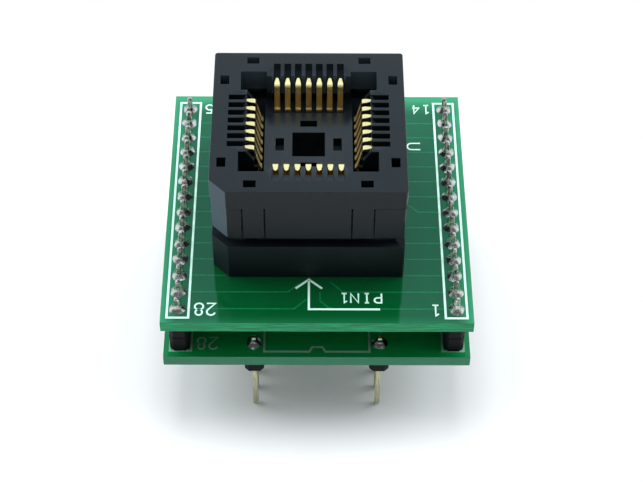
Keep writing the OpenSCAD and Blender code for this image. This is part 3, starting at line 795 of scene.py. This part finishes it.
class ADAPTER_OT_strips(Operator):
    """Mould the six pin strips with rounded cells"""

    bl_idname = "adapter.strips"
    bl_label = "Pin strips"

    def execute(self, context):
        sizes = context.scene.adapter_sizes
        colour = context.scene.adapter_colours.strip
        material = moulding_finish("strip_moulding", colour, roughness=0.5, grain=0.07 * MM, gloss=1.18)
        for level in ("upper_strip", "lower_strip", "dip_strip"):
            for column in COLUMNS:
                node = f"{level}_{column}"
                bm = softened(node, sizes.strip_edge, sizes.edge_steps)
                finish_piece(f"{node}_moulded", bm, BODY, material, [node], weighted=True)
        return {"FINISHED"}


class ADAPTER_OT_pins(Operator):
    """Plate the link pins and the DIP pins"""

    bl_idname = "adapter.pins"
    bl_label = "Pins"

    def execute(self, context):
        sizes = context.scene.adapter_sizes
        material = pin_finish(context.scene.adapter_colours)
        for row in ("link_pins", "dip_pins"):
            for column in COLUMNS:
                node = f"{row}_{column}"
                bm = softened(node, sizes.pin_edge, sizes.edge_steps, hard_angle=30)
                finish_piece(f"{node}_plated", bm, BODY, material, [node], weighted=True)
        return {"FINISHED"}


# Rows of faces in a solder fillet, and the power of its hollow curve
FILLET_ROWS = 5
FILLET_HOLLOW = 2.4
# The fillet's neck as a share of the pin's side
FILLET_NECK = 0.56
# Shares of the fillet's rise: up to its cap, and from where it follows the square pin
FILLET_CAP = 1.04
FILLET_SQUARE = 0.35
# Most that a fillet leans, as a share of its foot
FILLET_LEAN = 0.06
# Counts of the waves around a fillet, and the range of their height as a share of its radius
FILLET_WAVES = (2, 3, 5)
FILLET_SWELL = (0.02, 0.07)
# Range of a fillet's height as a share of its rise
FILLET_TALL = (0.88, 1.05)


def solder_fillet(joints, place, level, facing, foot, rise, pin, steps, chance):
    """Adds an uneven solder fillet around a square pin to a mesh of joints."""
    bm = bmesh.new()
    neck = pin * FILLET_NECK
    profile = [(0, 0)]
    for i in range(FILLET_ROWS + 1):
        up = i / FILLET_ROWS
        profile.append((neck + (foot - neck) * (1 - up) ** FILLET_HOLLOW, rise * up))
    profile.append((0, rise * FILLET_CAP))
    verts = [bm.verts.new((r, 0, z)) for r, z in profile]
    edges = [bm.edges.new(pair) for pair in zip(verts, verts[1:])]
    bmesh.ops.spin(
        bm, geom=verts + edges, cent=(0, 0, 0), axis=(0, 0, 1), angle=math.tau, steps=steps, use_merge=True)
    bmesh.ops.remove_doubles(bm, verts=bm.verts, dist=MICRON)
    lean = Vector((*(chance.uniform(-FILLET_LEAN, FILLET_LEAN) for _ in "XY"), 0)) * foot
    waves = [(n, chance.uniform(*FILLET_SWELL), chance.uniform(0, math.tau)) for n in FILLET_WAVES]
    tall = chance.uniform(*FILLET_TALL)
    for vert in bm.verts:
        up = vert.co.z / rise
        turn = math.atan2(vert.co.y, vert.co.x)
        square = 1 / max(abs(math.cos(turn)), abs(math.sin(turn)))
        swell = 1 + sum(size * math.sin(n * turn + phase) for n, size, phase in waves) * (1 - up)
        swell *= 1 + (square - 1) * max(0, up - FILLET_SQUARE)
        bend = lean * up * (1 - up) * 4
        vert.co = Vector((vert.co.x * swell, vert.co.y * swell, vert.co.z * tall)) + bend
    bmesh.ops.recalc_face_normals(bm, faces=bm.faces)
    if facing < 0:
        bmesh.ops.scale(bm, vec=(1, 1, -1), verts=bm.verts)
        bmesh.ops.reverse_faces(bm, faces=bm.faces)
    bmesh.ops.translate(bm, verts=bm.verts, vec=(place.x, place.y, level))
    part = bpy.data.meshes.new("fillet")
    bm.to_mesh(part)
    bm.free()
    joints.from_mesh(part)
    bpy.data.meshes.remove(part)


class ADAPTER_OT_solder(Operator):
    """Solder the pins to the boards with uneven fillets"""

    bl_idname = "adapter.solder"
    bl_label = "Solder"

    # Painted shade that dims the solder between the boards, which lies in the upper board's shadow
    shade_between_boards = 0.42

    def execute(self, context):
        chance = random.Random(SEED)
        steps = context.scene.adapter_sizes.fillet_steps
        colours = context.scene.adapter_colours
        bright = solder_finish("bright_solder", colours, 1)
        dull = solder_finish("shaded_solder", colours, self.shade_between_boards)
        for group, rows, level, facing, material in (
                ("top_solder", LINK_PINS, UPPER_TOP, 1, bright),
                ("bottom_solder", LINK_PINS, LOWER_LOW.z, -1, bright),
                ("dip_solder", DIP_PINS, LOWER_TOP, 1, dull)):
            for column in COLUMNS:
                node = f"{group}_{column}"
                low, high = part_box(node)
                joints = bmesh.new()
                for pin in rows[column]:
                    solder_fillet(
                        joints, pin, level, facing, (high.x - low.x) / 2, high.z - low.z,
                        PIN_SIDE, steps, chance)
                finish_piece(
                    f"{node}_joints", joints, BODY, material, [node], smooth_angle=60)
        paint_node("tail_solder", bright)
        return {"FINISHED"}


# Kinds of face of the socket, in the order of its materials; the pocket and key kinds get painted light
TOP, POCKET, SLOT, FLANK, KEY = range(5)
# Upward parts of a face's direction: between them it slopes, and above the second it is level
SLOPE, LEVEL = 0.1, 0.9
# Sideways parts of a face's direction: above the first on both axes it cuts a corner, and below the
# second it looks to the front or the rear
CORNER, FACING = 0.3, 0.5
# Depths below the cover's top: of its rounded rim, of its lip, and where its pockets begin and end
RIM_DEPTH, LIP_DEPTH = 0.1 * MM, 0.3 * MM
POCKET_TOP, POCKET_FOOT = 1 * MM, 3 * MM
# Distances from the socket's middle to its pockets, to its wall's inside and to its outer skin
POCKET_REACH = 7 * MM
WALL_REACH = SOCKET_HALF - 0.5 * MM
SKIN_REACH = SOCKET_HALF - 0.2 * MM


def socket_reach(place):
    """Distance of a place from the socket's middle, along the axis on which it is farther."""
    return max(abs(place.x - SOCKET.x), abs(place.y - SOCKET.y))


def recess_finish(face, node):
    """Kind of a socket face, which says its material."""
    place = face.calc_center_median()
    inside = socket_reach(place) < WALL_REACH
    depth = COVER_HIGH.z - place.z
    slope = SLOPE < face.normal.z < LEVEL
    corner = node == "socket_cover" and min(abs(face.normal.x), abs(face.normal.y)) > CORNER
    under_seat = place.z < SEAT_HIGH.z and all(SEAT_LOW[i] < place[i] < SEAT_HIGH[i] for i in (0, 1))
    outward = face.normal.xy.dot((place - SOCKET).xy) > 0 and face.normal.z < LEVEL
    if depth > LIP_DEPTH and not corner and (not inside or depth > POCKET_TOP and outward and not slope):
        return FLANK
    if not inside or slope or depth < RIM_DEPTH:
        return TOP
    shelf = depth < POCKET_TOP and place.y < SEAT_LOW.y
    if face.normal.z > LEVEL and (node == "seat_plate" or shelf):
        return TOP
    if corner and outward:
        return KEY
    if under_seat or not POCKET_TOP < depth < POCKET_FOOT:
        return SLOT
    return POCKET if abs(face.normal.x) < FACING and socket_reach(place) > POCKET_REACH else SLOT


def handled(edge):
    """Whether an edge of the socket lies on its outside, or runs along or down from the cover's top."""
    outside = all(socket_reach(v.co) > SKIN_REACH for v in edge.verts)
    from_top = edge.is_convex and any(v.co.z > COVER_HIGH.z - MICRON for v in edge.verts)
    return outside or from_top


class ADAPTER_OT_socket(Operator):
    """Mould the socket's base, seat plate and cover"""

    bl_idname = "adapter.socket"
    bl_label = "Socket"

    grain = 0.05 * MM
    # How many times as light as the plastic each finish is, its roughness and its gloss.
    # The pocket finish is painted light that lightens the pockets' shaded walls, and the key finish
    # a painted reflection on the cut corners' outer faces
    finishes = {
        "seat_moulding": (1, 0.18, 1.48),
        "socket_moulding": (1, 0.2, 1.37),
        "pocket_painted_light": (14, 0.6, 1.25),
        "slot_moulding": (1.4, 0.7, 1.15),
        "flank_moulding": (1, 0.38, 1.27),
        "key_painted_light": (8, 0.6, 1.25),
    }

    def execute(self, context):
        sizes = context.scene.adapter_sizes
        colour = context.scene.adapter_colours.socket
        glossy, polished, *recesses = (
            moulding_finish(name, toned(colour, lightness), roughness, self.grain, gloss)
            for name, (lightness, roughness, gloss) in self.finishes.items())
        for node, name, body, chosen, skin in (
                ("socket_base", "base_moulding", BODY, handled, polished),
                ("seat_plate", "seat_moulding", BODY, None, glossy),
                ("socket_cover", "cover_moulding", "cover", handled, polished)):
            bm = softened(node, sizes.plastic_edge, sizes.edge_steps, chosen=chosen)
            for face in bm.faces:
                face.material_index = recess_finish(face, node)
            piece = finish_piece(name, bm, body, skin, [node], weighted=True)
            for material in recesses:
                piece.data.materials.append(material)
        return {"FINISHED"}


class ADAPTER_OT_contacts(Operator):
    """Plate the contact arms and stems"""

    bl_idname = "adapter.contacts"
    bl_label = "Contacts"

    # Part of a face's direction along its row of contacts, above which the face is a sheared edge, which
    # gets painted shade
    shaded_edge_facing = 0.8

    def execute(self, context):
        sizes = context.scene.adapter_sizes
        colours = context.scene.adapter_colours
        gold, cut = colours.contact, colours.contact_edge_shade
        # The arms' colours are painted: reflections on the front and rear rows, shade on the side rows
        deep = contact_finish("deep_gold", gold, colours.contact_deep, wear=0.04, nose_light=0.5)
        bright = contact_finish("bright_gold", gold, colours.contact_arm, wear=0.3, nose_light=0.05)
        # Painted shade: the sheared edge faces get a dark gold
        sheared = contact_finish("edge_shaded_gold", cut, cut, wear=0.2, nose_light=0)
        for side in SIDES:
            along, material = (1, bright) if side in COLUMNS else (0, deep)
            node = f"contact_arms_{side}"
            bm = softened(node, sizes.contact_edge, steps=1, hard_angle=40)
            for face in bm.faces:
                face.material_index = int(abs(face.normal[along]) > self.shaded_edge_facing)
            piece = finish_piece(
                f"{node}_plated", bm, f"{side}_contacts", material, [node], weighted=True)
            piece.data.materials.append(sheared)
            paint_node(f"contact_stems_{side}", material)
        return {"FINISHED"}


class ADAPTER_OT_springs(Operator):
    """Finish the return springs"""

    bl_idname = "adapter.springs"
    bl_label = "Springs"

    def execute(self, context):
        paint_node("cover_springs", steel_finish(context.scene.adapter_colours))
        return {"FINISHED"}


class ADAPTER_OT_stage(Operator):
    """Set the floor, the light and the camera"""

    bl_idname = "adapter.stage"
    bl_label = "Stage"

    floor_reach = 1.5
    floor_sides = 96
    window_place = Vector((-0.01, 0.07, 0.55))
    # Parts of a direction, sideways and backwards, between which the tent's sides fade
    wing_reach = (0.15, 0.45)
    wing_front = (-0.35, 0.05)
    wing_rear = (0.4, 0.75)
    # Parts of a direction, backwards and upwards, between which the backdrop fades and meets the room
    backdrop_sides = (-0.3, 0.2)
    backdrop_fade = (0.69, 0.75)
    backdrop_top = (0.84, 0.92)
    backdrop_haze = 0.5
    # Upward parts of a direction between which the lit ceiling begins and ends in mirror images
    ceiling_rim = (0.79, 0.86)
    ceiling_end = (0.92, 0.97)
    light_tint = (0.95, 0.985, 1)
    shine_tint = (0.72, 0.88, 1)
    # Strength at which the tinted backdrop is white to the camera
    seen_white = 1.06
    sensor_width = 36
    nearest = 0.01

    def execute(self, context):
        studio = context.scene.adapter_studio
        context.scene.view_settings.view_transform = "Standard"
        self.make_floor(context)
        self.make_sky(context, studio)
        self.make_window(context, studio)
        self.make_camera(context, studio)
        return {"FINISHED"}

    def make_floor(self, context):
        bm = bmesh.new()
        bmesh.ops.create_circle(bm, cap_ends=True, radius=self.floor_reach, segments=self.floor_sides)
        mesh = bpy.data.meshes.new("floor")
        bm.to_mesh(mesh)
        bm.free()
        mesh.materials.append(floor_finish(context.scene.adapter_colours))
        floor = bpy.data.objects.new("floor", mesh)
        context.scene.collection.objects.link(floor)

    def make_sky(self, context, studio):
        """White backdrop for what is seen or mirrored, and an even light for what is lit."""
        world = bpy.data.worlds.new("studio_sky")
        context.scene.world = world
        nodes = Nodes(world)
        direction = nodes.add("ShaderNodeTexCoord", out="Generated")
        across, backward, upward = (nodes.part(direction, way) for way in "XYZ")
        mirrored = nodes.ray("Glossy") + nodes.ray("Transmission")
        behind = nodes.contrast(backward, *self.backdrop_sides)
        haze = 1 - nodes.contrast(upward, *self.backdrop_fade) * self.backdrop_haze
        backdrop = behind * haze * (1 - nodes.contrast(upward, *self.backdrop_top))
        white = studio.backdrop_light + mirrored * (studio.backdrop_shine - studio.backdrop_light)
        room = studio.room_light + mirrored * (studio.room_shine - studio.room_light)
        wings = nodes.contrast(abs(across), *self.wing_reach) * nodes.contrast(backward, *self.wing_front)
        wings = wings * (1 - nodes.contrast(backward, *self.wing_rear))
        side = studio.wing_light + mirrored * (studio.wing_shine - studio.wing_light)
        light = room + backdrop * (white - room)
        light = light.maths("MAXIMUM", light, wings * side)
        ceiling = nodes.contrast(upward, *self.ceiling_rim)
        ceiling = ceiling * (1 - nodes.contrast(upward, *self.ceiling_end))
        light = light.maths("MAXIMUM", light, mirrored * ceiling * studio.ceiling_shine)
        light = light + nodes.ray("Camera") * (self.seen_white - light)
        tint = nodes.mix(mirrored, self.light_tint, self.shine_tint)
        sky = nodes.add("ShaderNodeBackground", {}, {"Color": tint, "Strength": light})
        nodes.add("ShaderNodeOutputWorld", {}, {"Surface": sky})

    def make_window(self, context, studio):
        light = bpy.data.lights.new("window", "AREA")
        light.energy = studio.window_power
        light.size = studio.window_size
        window = bpy.data.objects.new("window", light)
        window.location = self.window_place
        window.rotation_euler = self.window_place.to_track_quat("Z", "Y").to_euler()
        window.visible_glossy = False
        context.scene.collection.objects.link(window)

    def make_camera(self, context, studio):
        lens = bpy.data.cameras.new("camera")
        lens.sensor_fit = "HORIZONTAL"
        lens.sensor_width = self.sensor_width
        lens.lens = studio.lens
        lens.clip_start = self.nearest
        camera = bpy.data.objects.new("camera", lens)
        camera.matrix_world = (
            Matrix.Translation(studio.camera_place)
            @ Matrix.Rotation(studio.camera_turn, 4, "Z")
            @ Matrix.Rotation(studio.camera_tilt, 4, "X")
            @ Matrix.Rotation(studio.camera_roll, 4, "Z"))
        context.scene.collection.objects.link(camera)
        context.scene.camera = camera


class ADAPTER_PT_sidebar(Panel):
    """Lists the adapter's steps, sizes and colours"""

    bl_idname = "ADAPTER_PT_sidebar"
    bl_label = "Programming Adapter"
    bl_space_type = "VIEW_3D"
    bl_region_type = "UI"
    bl_category = "Adapter"

    def draw(self, context):
        for step in STEPS:
            self.layout.operator(step.bl_idname)
        for group in ("adapter_sizes", "adapter_colours", "adapter_studio"):
            box = self.layout.box()
            values = getattr(context.scene, group)
            for name in values.__annotations__:
                box.prop(values, name)


STEPS = (
    ADAPTER_OT_stage, ADAPTER_OT_boards, ADAPTER_OT_traces, ADAPTER_OT_legend, ADAPTER_OT_strips,
    ADAPTER_OT_pins, ADAPTER_OT_solder, ADAPTER_OT_socket, ADAPTER_OT_contacts, ADAPTER_OT_springs,
)
GROUPS = (AdapterSizes, AdapterColours, AdapterStudio)


def register():
    for kind in GROUPS + STEPS + (ADAPTER_PT_sidebar,):
        bpy.utils.register_class(kind)
    bpy.types.Scene.adapter_sizes = PointerProperty(type=AdapterSizes)
    bpy.types.Scene.adapter_colours = PointerProperty(type=AdapterColours)
    bpy.types.Scene.adapter_studio = PointerProperty(type=AdapterStudio)


def unregister():
    del bpy.types.Scene.adapter_studio
    del bpy.types.Scene.adapter_colours
    del bpy.types.Scene.adapter_sizes
    for kind in reversed(GROUPS + STEPS + (ADAPTER_PT_sidebar,)):
        bpy.utils.unregister_class(kind)


def main():
    register()
    for step in STEPS:
        group, name = step.bl_idname.split(".")
        getattr(getattr(bpy.ops, group), name)()
    bpy.context.view_layer.update()


if __name__ == "__main__":
    main()
